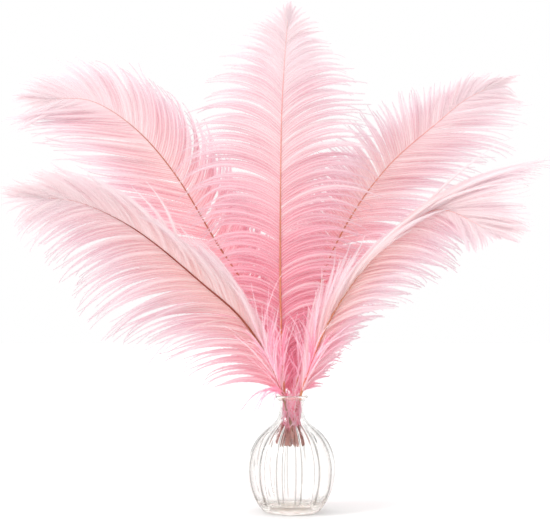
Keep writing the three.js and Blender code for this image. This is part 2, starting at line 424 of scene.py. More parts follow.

# %% [markdown]
# Clear glass needs only plain values: full transmission, the index of soda glass and a barely warm tint. The
# tint is a faint absorption with depth, so the thick foot looks creamy and the thin wall stays clear. A
# touch of unevenness in the normal is the ripple that a mould leaves. Where a flute's wall is steep a real
# one bends light away and a thin grey line is seen, so a grey line is painted into the colour there: painted
# shade.
# The outline gets painted shade too, a grey that deepens where the faces turn away. These painted lines are
# only
# for what looks through the glass: light on its way to the quills and the down inside, which has bounced off
# something matt, passes as freely as it does through a real vase.

# %% Clear pressed glass
STEEP_START = 0.25  # how far a flute's wall turns sideways before it darkens, and where it is darkest
STEEP_FULL = 0.55
# painted shade: the grey of the lines on steep flute walls and along the outline
PAINTED_LINE_COLOUR = (0.2, 0.185, 0.17)
CLEAR_COLOUR = (1.0, 0.995, 0.99)
EDGE_SHARPNESS = 3.5
NECK_SHARPNESS = 1.5  # a narrow neck needs a softer edge for its outline to be as wide
# painted shade: how dark the outline is painted
OUTLINE_SHADE = 0.75
EDGE_TOP = 0.1015  # metres: the rim above this stays clear
WAIST_LOW = 0.072  # metres: where the body's outline starts to turn into the neck's, and where it has
WAIST_HIGH = 0.084
SODA_GLASS = 1.5  # its index of refraction
RIPPLE_SCALE = 90
RIPPLE_STRENGTH = 0.12
RIPPLE_DEPTH = 0.0004  # metres
RIPPLE_ROUGHNESS = 0.03
WARM_TINT = (0.97, 0.93, 0.88, 1)
TINT_DENSITY = 14

material, tree, shader, output = new_material("clear_pressed_glass")
where = add_node(tree, "ShaderNodeTexCoord")
axis_turn = add_node(tree, "ShaderNodeVectorMath", operation="CROSS_PRODUCT")
axis_turn.inputs[0].default_value = (0, 0, 1)
tree.links.new(where.outputs["Object"], axis_turn.inputs[1])
round_way = add_node(tree, "ShaderNodeVectorMath", operation="NORMALIZE")
tree.links.new(axis_turn.outputs[0], round_way.inputs[0])
sideways = add_node(tree, "ShaderNodeVectorMath", operation="DOT_PRODUCT")
tree.links.new(round_way.outputs[0], sideways.inputs[0])
tree.links.new(where.outputs["Normal"], sideways.inputs[1])
steep = maths(tree, "ABSOLUTE", sideways.outputs["Value"])
# painted shade: a grey line painted where a flute's wall turns steeply sideways
painted_flute_line = rise_between(tree, steep, STEEP_START, STEEP_FULL)
bounced = add_node(tree, "ShaderNodeLightPath").outputs["Diffuse Depth"]
looked_at = maths(tree, "LESS_THAN", bounced, 0.5)
with_painted_lines = blend_colours(tree, maths(tree, "MULTIPLY", painted_flute_line, looked_at), CLEAR_COLOUR, PAINTED_LINE_COLOUR)
facing = add_node(tree, "ShaderNodeLayerWeight").outputs["Facing"]
height = add_node(tree, "ShaderNodeSeparateXYZ")
tree.links.new(where.outputs["Object"], height.inputs[0])
below_rim = maths(tree, "LESS_THAN", height.outputs[2], EDGE_TOP)
waist = rise_between(tree, height.outputs[2], WAIST_LOW, WAIST_HIGH)
sharpness = maths(tree, "MULTIPLY_ADD", waist, NECK_SHARPNESS - EDGE_SHARPNESS, EDGE_SHARPNESS)
# painted shade along the outline of the glass, darker where its faces turn away
painted_outline = maths(tree, "MULTIPLY", maths(tree, "POWER", facing, sharpness), OUTLINE_SHADE)
normal = add_node(tree, "ShaderNodeSeparateXYZ")
tree.links.new(where.outputs["Normal"], normal.inputs[0])
level = maths(tree, "MULTIPLY", normal.outputs[2], normal.outputs[2])
upright = maths(tree, "SUBTRACT", 1.0, level)
painted_outline = maths(tree, "MULTIPLY", painted_outline, maths(tree, "MULTIPLY", below_rim, upright))
painted_outline = maths(tree, "MULTIPLY", painted_outline, looked_at)
tree.links.new(blend_colours(tree, painted_outline, with_painted_lines, PAINTED_LINE_COLOUR), shader.inputs["Base Color"])
set_inputs(shader, {"Transmission Weight": 1, "IOR": SODA_GLASS})
ripple = add_node(tree, "ShaderNodeTexNoise")
set_inputs(ripple, {"Scale": RIPPLE_SCALE, "Detail": 2})
tree.links.new(where.outputs["Object"], ripple.inputs["Vector"])
rough = maths(tree, "MULTIPLY", ripple.outputs[0], RIPPLE_ROUGHNESS)
tree.links.new(rough, shader.inputs["Roughness"])
bump = add_node(tree, "ShaderNodeBump")
set_inputs(bump, {"Strength": RIPPLE_STRENGTH, "Distance": RIPPLE_DEPTH})
tree.links.new(ripple.outputs[0], bump.inputs["Height"])
tree.links.new(bump.outputs[0], shader.inputs["Normal"])
absorb = add_node(tree, "ShaderNodeVolumeAbsorption")
set_inputs(absorb, {"Color": WARM_TINT, "Density": TINT_DENSITY})
tree.links.new(absorb.outputs[0], output.inputs["Volume"])
vase.data.materials.append(material)
print("glass lines where a wall turns more than", STEEP_START)

# %% [markdown]
# The thick foot and the rolled rim of such a vase are never as clear as its wall: the glass has cooled slowly
# there and it is a little milky. So their faces get a second glass that lets a little less light through and
# scatters the rest, with soft creamy swirls. They also shine faintly: a painted glow that stands for the
# light that the thick glass gathers.

# %% Creamy glass for the foot and the rim
FOOT_TOP = 0.0062  # metres: the level faces of the glass floor and the base lie below this
RIM_LOW = 0.102  # metres: the faces of the rim lie above this
LEVEL = 0.7  # how far up or down a face's normal points before the face counts as level
FOOT_CLEAR = 0.95
PAINTED_FOOT_GLOW = 0.07
FOOT_ROUGHNESS = 0.06
SWIRL_SCALE = 120
SWIRL_BEND = 1.5
CREAM = [(0.35, (0.86, 0.78, 0.71)), (0.62, (1.0, 0.97, 0.94))]

creamy, tree, shader, output = new_material("creamy_glass_foot")
swirls = add_node(tree, "ShaderNodeTexNoise")
set_inputs(swirls, {"Scale": SWIRL_SCALE, "Detail": 3, "Distortion": SWIRL_BEND})
tree.links.new(add_node(tree, "ShaderNodeTexCoord").outputs["Object"], swirls.inputs["Vector"])
cream = ramp(tree, swirls.outputs[0], CREAM)
tree.links.new(cream, shader.inputs["Base Color"])
tree.links.new(cream, shader.inputs["Emission Color"])
# painted light: a faint glow standing for the light that the thick glass gathers
set_inputs(shader, {"Emission Strength": PAINTED_FOOT_GLOW, "Transmission Weight": FOOT_CLEAR})
set_inputs(shader, {"IOR": SODA_GLASS, "Roughness": FOOT_ROUGHNESS})
vase.data.materials.append(creamy)
creamy_faces = 0
for face in vase.data.polygons:
    in_foot = abs(face.normal.z) > LEVEL and face.center.z < FOOT_TOP
    if in_foot or face.center.z > RIM_LOW:
        face.material_index = 1
        creamy_faces += 1
print("creamy faces", creamy_faces)
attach(vase, "root")
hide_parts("vase")


# %% [markdown]
# ## The plumes
# A plume is a shaft with barbs on both sides. The shaft's route is a smooth curve through a few places that
# follow the frame. On each side the barbs change slowly along the shaft, so seven stations are enough to
# say how long they are, at which angle they leave the shaft and how far they have turned at their tips.

# %% Routes and barbs of the five plumes
# route: places in millimetres from the cut end of the quill to the end of the shaft.
# barbed: the share of the route below the first barbs. down: the shortest and the longest of the loose barbs
# at its foot, where they aren't LONG_DOWN. reach is in millimetres, and leave and turn are angles from the
# shaft in degrees. Left and right are as the plume is seen from the front. A side may say where its barbs
# crowd together, how much paler than the rest they are, and how strong the painted shade along their edges
# is.
PLUMES = {
    "centre": {
        "route": [
            (-1.3, 0.2, 58.2), (-4, 0.4, 84.2), (-6.5, 0.9, 105), (-9.6, 6, 172), (-10, 14, 257),
            (-9, 20, 349), (-6.6, 21, 400), (-4.3, 18.4, 432), (-3.2, 16.8, 445),
        ],
        "barbed": 0.135,
        "down": (14, 42),
        "left": {
            "reach": (30, 56, 80, 99, 99, 62, 18),
            "leave": (38, 45, 50, 50, 45, 36, 32),
            "turn": (60, 105, 122, 128, 116, 98, 66),
        },
        "right": {
            "reach": (30, 56, 80, 95, 97, 66, 18),
            "leave": (38, 45, 50, 48, 43, 36, 32),
            "turn": (60, 100, 118, 118, 104, 98, 70),
        },
    },
    "rear_left": {
        "route": [
            (10.5, 5.9, 57.7), (1.5, 6.2, 83.7), (-5.6, 7, 105), (-19.4, 17, 153.5), (-38.7, 30, 197),
            (-68.5, 42, 242), (-106.4, 57, 304), (-145, 70, 349), (-187.3, 80, 376.7), (-228.8, 85, 380.5),
        ],
        "barbed": 0.125,
        "down": (16, 54),
        "left": {
            "reach": (35, 78, 100, 118, 124, 110, 46),
            "leave": (38, 44, 46, 44, 40, 32, 24),
            "turn": (80, 78, 66, 54, 44, 38, 32),
        },
        "right": {
            "reach": (35, 60, 74, 84, 88, 70, 42),
            "leave": (50, 60, 68, 70, 60, 42, 26),
            "turn": (45, 40, 20, 2, -8, 0, 8),
        },
    },
    "rear_right": {
        "route": [
            (-12.1, 3.1, 57.9), (-4.4, 3.3, 84), (2, 3.8, 105), (14.2, 11, 158.4), (30.9, 25, 217),
            (56.3, 39, 268), (92.7, 54, 316), (140.3, 67, 357.6), (164.5, 73, 377.5), (188.6, 77, 390),
        ],
        "barbed": 0.12,
        "down": (16, 54),
        "left": {
            "reach": (32, 56, 62, 64, 58, 44, 30),
            "leave": (50, 60, 64, 66, 60, 42, 24),
            "turn": (50, 85, 92, 88, 78, 30, -20),
        },
        "right": {
            "reach": (30, 58, 76, 92, 100, 90, 36),
            "leave": (40, 48, 50, 44, 38, 28, 24),
            "turn": (80, 95, 92, 72, 52, 44, 38),
        },
    },
    "front_left": {
        "route": [
            (4.9, -5.6, 58.6), (-2.3, -5.8, 84.8), (-7.6, -6, 105), (-21.9, -14, 140), (-45.7, -28, 176),
            (-78, -42, 205.5), (-118.5, -60, 240.5), (-148.7, -73, 261), (-181.9, -86, 275.6),
            (-212.6, -97, 279.5),
        ],
        "barbed": 0.15,
        "left": {
            "reach": (70, 106, 120, 104, 88, 70, 38),
            "leave": (32, 28, 27, 26, 26, 24, 20),
            "turn": (112, 102, 92, 94, 88, 74, 44),
        },
        "right": {
            "reach": (46, 85, 92, 84, 76, 58, 36),
            "leave": (12, 22, 32, 36, 32, 25, 18),
            "turn": (-8, -12, -16, -18, -14, -4, 4),
            "pale": 1.2,
            "edge_shade": 0.7,
        },
    },
    "front_right": {
        "route": [
            (-6.7, -2.7, 58.4), (1.8, -2.8, 84.5), (8.2, -3.5, 105), (20, -12, 141.7), (36.5, -26, 178.7),
            (61.4, -40, 216.8), (91.8, -56, 250.7), (115, -67, 266.8), (134.7, -76, 268.3),
            (164.1, -87, 252.7),
        ],
        "barbed": 0.165,
        "left": {
            "reach": (80, 92, 96, 122, 146, 84, 30),
            "leave": (14, 13, 10, 7, 7, 14, 30),
            "turn": (8, -4, -26, -43, -44, 0, 20),
            "crowd": (1, 0.9, 0.9, 1.3, 2.8, 2.9, 1.4),
            "pale": 0.1,
            "edge_shade": 0.3,
        },
        "right": {
            "reach": (38, 66, 74, 74, 60, 44, 18),
            "leave": (18, 17, 18, 26, 36, 30, 18),
            "turn": (55, 68, 82, 90, 88, 75, 24),
        },
    },
}
ROUTE_SAMPLES = 400


def through(values, share):
    """The value at each share of the way along evenly spaced values, on a smooth curve through them."""
    values = np.asarray(values, float)
    ends = (2 * values[:1] - values[1:2], values, 2 * values[-1:] - values[-2:-1])
    padded = np.concatenate(ends)
    place = np.asarray(share) * (len(values) - 1)
    i = np.clip(place.astype(int), 0, len(values) - 2)
    t = place - i
    if values.ndim > 1:
        t = t[..., None]
    before, start, end, after = (padded[i + k] for k in range(4))
    cubic = 3 * start - before - 3 * end + after
    return start + 0.5 * t * (end - before + t * (2 * before - 5 * start + 4 * end - after + t * cubic))


class Spine:
    """The shaft's route in metres, with its own directions at any share of its length."""

    def __init__(self, route):
        dense = through(np.array(route) * MM, np.linspace(0, 1, ROUTE_SAMPLES))
        walked = np.concatenate([[0], np.cumsum(np.linalg.norm(np.diff(dense, axis=0), axis=1))])
        even = np.linspace(0, walked[-1], ROUTE_SAMPLES)
        self.length = walked[-1]
        self.shares = even / walked[-1]
        self.places = np.stack([np.interp(even, walked, dense[:, k]) for k in range(3)], 1)
        self.tangents = unit(np.gradient(self.places, axis=0))

    def at(self, share):
        """Places, and the directions forward, out of the plume's face, and to its right."""
        pick = lambda values: np.stack([np.interp(share, self.shares, values[:, k]) for k in range(3)], -1)
        place, forward = pick(self.places), unit(pick(self.tangents))
        face = unit(np.array((0, -1, 0)) + forward * forward[..., 1:2])
        return place, forward, face, np.cross(forward, face)


def unit(vectors):
    return vectors / np.maximum(np.linalg.norm(vectors, axis=-1, keepdims=True), 1e-12)


spines = {name: Spine(plume["route"]) for name, plume in PLUMES.items()}
for name, spine in spines.items():
    print(name, "shaft", round(spine.length / MM), "mm")


# %% [markdown]
# ### Shafts
# The shaft is horn: a round hollow quill below, cut off square, that turns into a slim solid shaft with a
# groove along its back. It could be extruded ring by ring like the vase, but a curve carries its ring along a
# bend with no twist, and each of its points has a radius, so it tapers as it goes. The groove is in the small
# closed curve that it carries.

# %% A grooved ring and five tapering curves
QUILL_RADIUS = 1.3
SHAFT_TIP_RADIUS = 0.2
SHAFT_POINTS = 60
RING_POINTS = 12
GROOVE = 0.22  # how deep the groove is, as a share of the radius


def shaft_ring():
    """A closed curve of radius 1 metre with a shallow groove on one side, to be carried along a shaft."""
    turns = np.arange(RING_POINTS) * 2 * np.pi / RING_POINTS
    radii = 1 - GROOVE * np.maximum(0, np.cos(turns)) ** 6
    curve = bpy.data.curves.new("shaft_ring", "CURVE")
    spline = curve.splines.new("POLY")
    spline.points.add(RING_POINTS - 1)
    for point, turn, radius in zip(spline.points, turns, radii):
        point.co = (radius * math.cos(turn), radius * math.sin(turn), 0, 1)
    spline.use_cyclic_u = True
    ring = bpy.data.objects.new("shaft_ring", curve)
    bpy.context.scene.collection.objects.link(ring)
    return ring


def taper(share):
    """The shaft's radius in metres: even along the quill, then slimmer and slimmer."""
    return (SHAFT_TIP_RADIUS + (QUILL_RADIUS - SHAFT_TIP_RADIUS) * (1 - share) ** 1.1) * MM


def shaft(name, spine, ring):
    curve = bpy.data.curves.new("shaft_" + name, "CURVE")
    curve.dimensions = "3D"
    curve.bevel_mode = "OBJECT"
    curve.bevel_object = ring
    curve.use_fill_caps = True
    shares = np.linspace(0, 1, SHAFT_POINTS)
    places = spine.at(shares)[0]
    spline = curve.splines.new("POLY")
    spline.points.add(SHAFT_POINTS - 1)
    for point, place, share in zip(spline.points, places, shares):
        point.co = (*place, 1)
        point.radius = taper(share)
    piece = bpy.data.objects.new("shaft_" + name, curve)
    bpy.context.scene.collection.objects.link(piece)
    bpy.ops.object.select_all(action="DESELECT")
    piece.select_set(True)
    bpy.context.view_layer.objects.active = piece
    bpy.ops.object.convert(target="MESH")
    piece = bpy.context.object
    bpy.ops.object.mode_set(mode="EDIT")
    bpy.ops.mesh.select_all(action="SELECT")
    bpy.ops.mesh.remove_doubles(threshold=1e-6)
    bpy.ops.mesh.normals_make_consistent(inside=False)
    bpy.ops.object.mode_set(mode="OBJECT")
    bpy.ops.object.shade_smooth_by_angle(angle=math.radians(40))
    return piece


ring = shaft_ring()
shafts = {name: shaft(name, spine, ring) for name, spine in spines.items()}
bpy.data.objects.remove(ring)
for name, piece in shafts.items():
    shares = piece.data.attributes.new("plume_share", "FLOAT", "POINT")
    co = np.zeros(len(piece.data.vertices) * 3)
    piece.data.vertices.foreach_get("co", co)
    gaps = np.linalg.norm(co.reshape(-1, 1, 3) - spines[name].places[None], axis=2)
    shares.data.foreach_set("value", (gaps.argmin(1) / (ROUTE_SAMPLES - 1)).astype(np.float32))
    print(piece.name, len(piece.data.polygons), "faces")


# %% [markdown]
# Horn takes the dye unevenly. The quill end stays tan, the lower shaft turns orange, and towards the tip it
# is nearly the pink of the barbs. Fine streaks mottle it. The rear left shaft has taken a redder brown than
# the others, and the front left one a darker brown.

# %% Dyed horn
STREAK_SCALE = 700
STREAK_DEPTH = 0.35  # how much of the streaks' colour the horn takes
STREAKS = [(0.35, (0.6, 0.5, 0.45)), (0.65, (1, 1, 1))]
HORN_RELIEF = 0.0002  # metres
HORN_GLOW_REACH = (0.002, 0.001, 0.0006)  # metres that red, green and blue light spread inside horn


def horn(name, stops):
    """A material for shafts: the colour stops run from the cut end of the quill to the tip."""
    material, tree, shader, output = new_material(name)
    share = add_node(tree, "ShaderNodeAttribute", attribute_name="plume_share")
    base = ramp(tree, share.outputs["Fac"], stops)
    where = add_node(tree, "ShaderNodeTexCoord")
    streaks = add_node(tree, "ShaderNodeTexNoise")
    set_inputs(streaks, {"Scale": STREAK_SCALE, "Detail": 3})
    tree.links.new(where.outputs["Object"], streaks.inputs["Vector"])
    shade = ramp(tree, streaks.outputs[0], STREAKS)
    darker = blend_colours(tree, STREAK_DEPTH, base, shade, "MULTIPLY")
    tree.links.new(darker, shader.inputs["Base Color"])
    set_inputs(shader, {"Roughness": 0.5, "Specular IOR Level": 0.25})
    set_inputs(shader, {"Subsurface Weight": 0.1, "Subsurface Radius": HORN_GLOW_REACH})
    bump = add_node(tree, "ShaderNodeBump")
    set_inputs(bump, {"Strength": 0.3, "Distance": HORN_RELIEF})
    tree.links.new(streaks.outputs[0], bump.inputs["Height"])
    tree.links.new(bump.outputs[0], shader.inputs["Normal"])
    return material


TAN = (0.42, 0.2, 0.12)
ORANGE = (0.78, 0.3, 0.16)
RUST = (0.62, 0.25, 0.15)
ROSE = (0.88, 0.42, 0.4)
BROWN = (0.3, 0.06, 0.04)
LIGHT_BROWN = (0.5, 0.2, 0.1)
RED_BROWN = (0.5, 0.17, 0.11)
PALE_ROSE = (0.95, 0.66, 0.66)
orange_horn = horn("orange_horn", [(0, TAN), (0.2, ORANGE), (0.5, RUST), (0.8, ROSE), (1, PALE_ROSE)])
red_horn = horn("red_horn", [(0, TAN), (0.2, ORANGE), (0.45, RED_BROWN), (0.75, RED_BROWN), (1, PALE_ROSE)])
BROWN_STOPS = [(0, TAN), (0.2, LIGHT_BROWN), (0.4, BROWN), (0.75, BROWN), (0.95, PALE_ROSE)]
brown_horn = horn("brown_horn", BROWN_STOPS)
HORNS = {"rear_left": red_horn, "front_left": brown_horn}
for name, piece in shafts.items():
    piece.data.materials.append(HORNS.get(name, orange_horn))
    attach(piece, "root")
    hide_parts("feather_" + name)
print("coloured the shafts:", ", ".join(shafts))

# %% [markdown]
# ### Barbs
# An ostrich barb is a long soft thread with fine hairs, the barbules, on both sides. Nothing hooks them
# together, so they hang loose: neighbours cling in twos and threes, and white gaps open towards their tips.
# There are thousands, far too many to model by hand, so they are joined meshes from arrays. Each barb is a
# thin ribbon that turns step by step, and each barbule is one slim triangle that starts on it. The middle of
# a ribbon stands up and is painted paler, a painted highlight, and its edges and the barbules' tips are
# painted darker, painted shade where a barb dips behind its neighbours, so each reads as a rib. Towards the
# end of the shaft the barbs get shorter and paler, and the last ones close into a tuft.

# %% How barbs grow
BARB_PITCH = 2.7  # millimetres along the shaft from one barb to the next
RIBBON_STEPS = 26
BARBULES = 220  # on each side of a barb
CROWD_SAMPLES = 200
EVEN_CROWD = (1,) * 7
TUFT_START = 0.95  # the share of the barbed part where the last barbs begin to close into a tuft
TUFT_CLOSING = 0.9  # how much of its lean and its bend the very last barb loses
ROOT_DEPTH = 0.4  # millimetres that a barb starts behind the shaft's surface
FRONT_LIMIT = -0.1165  # metres: how far the barbs may come forward, and below how far they may go back
BACK_LIMIT = 0.1095
SOFT_LIMIT = 0.012  # metres over which they ease towards the front limit or the back limit
RADIANS = np.pi / 180


def smooth_step(low, high, value):
    t = np.clip((value - low) / (high - low), 0, 1)
    return t * t * (3 - 2 * t)


def grow(roots, forward, face, out, reach, leave, turn, lift, fall, curl, sway):
    """Paths of barbs: each step turns from leave towards turn, and tips from lift to fall out of the face."""
    u = (np.arange(RIBBON_STEPS) + 0.5) / RIBBON_STEPS
    ripple = sway[:, None] * np.sin(u * 9 + sway[:, None] * 40)
    angle = leave[:, None] + (turn - leave)[:, None] * u + curl[:, None] * u**6 + ripple
    tip = lift[:, None] + (fall - lift)[:, None] * u
    step = (
        (np.cos(angle) * np.cos(tip))[..., None] * forward[:, None]
        + (np.sin(angle) * np.cos(tip))[..., None] * out[:, None]
        + np.sin(tip)[..., None] * face[:, None]
    )
    walked = np.cumsum(step * (reach / RIBBON_STEPS)[:, None, None], axis=1)
    return roots[:, None] + np.concatenate([np.zeros((len(roots), 1, 3)), walked], axis=1)


CLING_START = 0.55  # the share of a barb where it begins to be drawn
CLING_SHARE = 0.8  # the most of the distance that it is drawn


def cling(paths, group, strength):
    """Draws the barbs of a group towards the path of its first one, more and more to the tips."""
    first = np.searchsorted(group, group)
    u = np.linspace(0, 1, paths.shape[1])
    pull = strength[:, None] * smooth_step(CLING_START, 1, u)
    return paths + pull[..., None] * (paths[first] - paths) * CLING_SHARE


def hold_depth(paths):
    """Eases the places back that would go past the front or the back of the arrangement."""
    y = paths[..., 1]
    past = np.minimum(y - FRONT_LIMIT - SOFT_LIMIT, 0)
    y = y - past + SOFT_LIMIT * (np.exp(past / SOFT_LIMIT) - 1)
    past = np.maximum(y - BACK_LIMIT + SOFT_LIMIT, 0)
    paths[..., 1] = y - past + SOFT_LIMIT * (1 - np.exp(-past / SOFT_LIMIT))
    return paths


GROUP_CHANCE = 0.62  # the chance that a barb starts a group of its own
CLING = 0.7  # how strongly the barbs of a group may be drawn together
STRAY_CHANCE = 0.04
# some barbs get a painted highlight, a near white tone, and stand a little forward
HIGHLIGHT_CHANCE = 0.08
HIGHLIGHT_CHANCE_PALE = 0.25  # on a side that is paler than the rest
DRIFT_STEPS = 24  # how many times the barbs' direction wanders along a side
LENGTHS = (0.84, 1.06)  # the shortest and the longest barb, beside the planned reach
LIFT = 6  # degrees out of the plume's face at the root, and below at the tip
FALL = -20
END_START = 0.75  # the share of the barbed part where the barbs begin to turn paler, and where they have
END_FULL = 0.97
END_PALER = 1.1
BRIGHTNESS = 0.5
TONE_LIMITS = (-1.5, 2.4)
# painted shade along a barb's edges
EDGE_SHADE = 2.3  # how much darker a barb is along its edges, where it dips behind its neighbours
EDGE_SHADE_FADE = 0.85  # how much of that is gone at the end of the plume


def barb_shares(count, crowd, rng):
    """Where the barbs of one side start along the barbed part, closer together where they crowd."""
    dense = np.linspace(0, 1, CROWD_SAMPLES)
    filled = np.cumsum(through(crowd, dense))
    even = (np.arange(count) + rng.uniform(-0.12, 0.12, count)) / (count - 1)
    return np.interp(np.clip(even, 0, 1), (filled - filled[0]) / (filled[-1] - filled[0]), dense)


def vane(plume, spine, side, rng):
    """The barbs on one side of a plume: their paths, places along it, tones, fluff and painted edge shade."""
    plan = plume[side]
    crowd = plan.get("crowd", EVEN_CROWD)
    count = round((1 - plume["barbed"]) * spine.length / MM / BARB_PITCH * sum(crowd) / 7)
    share = barb_shares(count, crowd, rng)
    along = plume["barbed"] + (1 - plume["barbed"]) * share
    place, forward, face, right = spine.at(along)
    place = place - face * (taper(along) + ROOT_DEPTH * MM)[:, None]
    out = right * (-1 if side == "left" else 1)
    reach, leave, turn = (through(plan[key], share) for key in ("reach", "leave", "turn"))
    closing = 1 - TUFT_CLOSING * smooth_step(TUFT_START, 1, share)
    leave, turn = leave * closing, turn * closing
    group = np.cumsum(rng.random(count) < GROUP_CHANCE)
    groups = group[-1] + 1
    of_group = lambda spread: rng.normal(0, spread, groups)[group]
    stray = rng.random(count) < STRAY_CHANCE
    painted_highlight = rng.random(count) < (HIGHLIGHT_CHANCE_PALE if "pale" in plan else HIGHLIGHT_CHANCE)
    drift = np.interp(np.arange(count), np.linspace(0, count, DRIFT_STEPS), rng.normal(0, 1, DRIFT_STEPS))
    offset = of_group(0.55) + rng.normal(0, 0.25, count) + drift * 0.5 + stray * rng.normal(0, 9, count)
    paths = grow(
        place, forward, face, out,
        reach * rng.uniform(*LENGTHS, count) * (1 + 0.03 * drift) * MM,
        (leave + offset * 0.6) * RADIANS,
        (turn + offset * 1.5) * RADIANS,
        (LIFT + of_group(2.5) + rng.normal(0, 2.5, count) + painted_highlight * 6) * RADIANS,
        (FALL + of_group(5) + rng.normal(0, 6, count) + stray * rng.normal(10, 12, count)) * RADIANS,
        rng.normal(0, 14, count) * RADIANS,
        rng.normal(0, 0.8, count) * RADIANS,
    )
    strength = rng.uniform(0, CLING, groups)[group] * smooth_step(-0.1, 0.5, share) * ~stray
    paths = hold_depth(cling(paths, group, strength))
    near_end = smooth_step(END_START, END_FULL, share)
    # the tone holds random differences, a painted highlight on some barbs, and the paler end
    tone = of_group(0.15) + rng.normal(0, 0.2, count) + stray * 0.6 + painted_highlight * 1.2 + plan.get("pale", 0)
    tone = np.clip(tone + BRIGHTNESS + END_PALER * near_end, *TONE_LIMITS)
    fluff = rng.uniform(0.85, 1.15, count) * np.where(stray, 0.6, 1)
    edge_shade = EDGE_SHADE * plan.get("edge_shade", 1) * (1 - EDGE_SHADE_FADE * near_end)
    return paths, share, tone, fluff, edge_shade


print("a barb every", BARB_PITCH, "mm")

# %% Ribbons and barbules
WEB_FILL = 0.46  # half of a ribbon's width, as a share of the distance to the next barb
WEB_LIMITS = (0.35, 1.6)  # millimetres
WEB_TIP = 0.16
WEB_FADE = (0.4, 0.95)  # the shares of a barb between which its ribbon narrows to a thread
WEB_COLUMNS = (-1, 0, 1)
WEB_RISE = 0.5  # how far the middle of a ribbon stands up, as a share of half its width
# painted highlight down the middle of a ribbon, and painted shade on its edges
RIB_HIGHLIGHT = 0.35  # how much paler the middle of a ribbon is than its barb, and what its edges lose of that
RIB_EDGE_SHADE = 0.4
ROLL = 0.22  # radians that a ribbon may be rolled out of the plume's face
BARBULE_SPAN = (0.005, 0.985)  # the first and the last place along a barb, and how far they may shift
BARBULE_SHIFT = 0.004
BARBULE_REACH = (1.0, 1.3, 1.5, 1.4, 1.1, 0.7, 0.4)  # millimetres past the ribbon, from root to tip
BARBULE_LENGTHS = (0.3, 1.3)  # the shortest and the longest, beside that reach
BARBULE_WIDTH = 0.5
BARBULE_SWEEP = (44, 42, 40, 36, 30, 24, 18)  # degrees from the barb's own direction
BARBULE_LIFT = (0.06, 0.14)  # how far they stand up beside their length, and how much that varies
BARBULE_TONE = (0.2, 0.25)  # how much paler than their barb they are, and how much that varies
# painted shade at the tips of the barbules
BARBULE_TIP_SHADE = 0.6  # how much darker the tips of the barbules are
MAP_COLUMNS = 160  # barbs side by side in the piece's flat map


def web_width(paths, fluff):
    """Half of each ribbon's width along it: wide enough to meet its neighbours, and a thread at its tip."""
    u = np.linspace(0, 1, paths.shape[1])
    step = np.linalg.norm(np.diff(paths, axis=0), axis=2) / MM
    beside = np.minimum(np.concatenate([step[:1], step]), np.concatenate([step, step[-1:]]))
    half = np.clip(beside * WEB_FILL, *WEB_LIMITS) * fluff[:, None]
    fade = 1 - smooth_step(*WEB_FADE, u)
    return WEB_TIP + (half - WEB_TIP) * fade


def ribbons(paths, half, across, normal, tone, edge_shade):
    """Three columns along every barb: the middle one stands up with a painted highlight, the outer two get
    painted shade.
    """
    count, stations = paths.shape[:2]
    columns = len(WEB_COLUMNS)
    place = np.array(WEB_COLUMNS)
    wide = half[:, :, None, None] * MM * place[:, None] * across[:, :, None]
    rise = half[:, :, None, None] * MM * WEB_RISE * (1 - place**2)[:, None] * normal[:, :, None]
    first = (np.arange(count)[:, None, None] * stations + np.arange(stations - 1)[:, None]) * columns
    first = first + np.arange(columns - 1)
    corners = [first, first + 1, first + columns + 1, first, first + columns + 1, first + columns]
    # the middle column gets the painted highlight, the outer ones the painted shade
    column_tone = tone[:, None] + RIB_HIGHLIGHT - (RIB_EDGE_SHADE + edge_shade[:, None]) * place**2
    whole = (count, stations, columns)
    return {
        "vertices": (paths[:, :, None] + wide + rise).reshape(-1, 3),
        "faces": np.stack(corners, -1).reshape(-1, 3),
        "barb": np.repeat(np.arange(count), stations * columns),
        "barb_share": np.broadcast_to(np.linspace(0, 1, stations)[None, :, None], whole).reshape(-1),
        "tone": np.broadcast_to(column_tone[:, None], whole).reshape(-1),
        "map_side": np.broadcast_to(0.5 + 0.1 * place, whole).reshape(-1),
    }


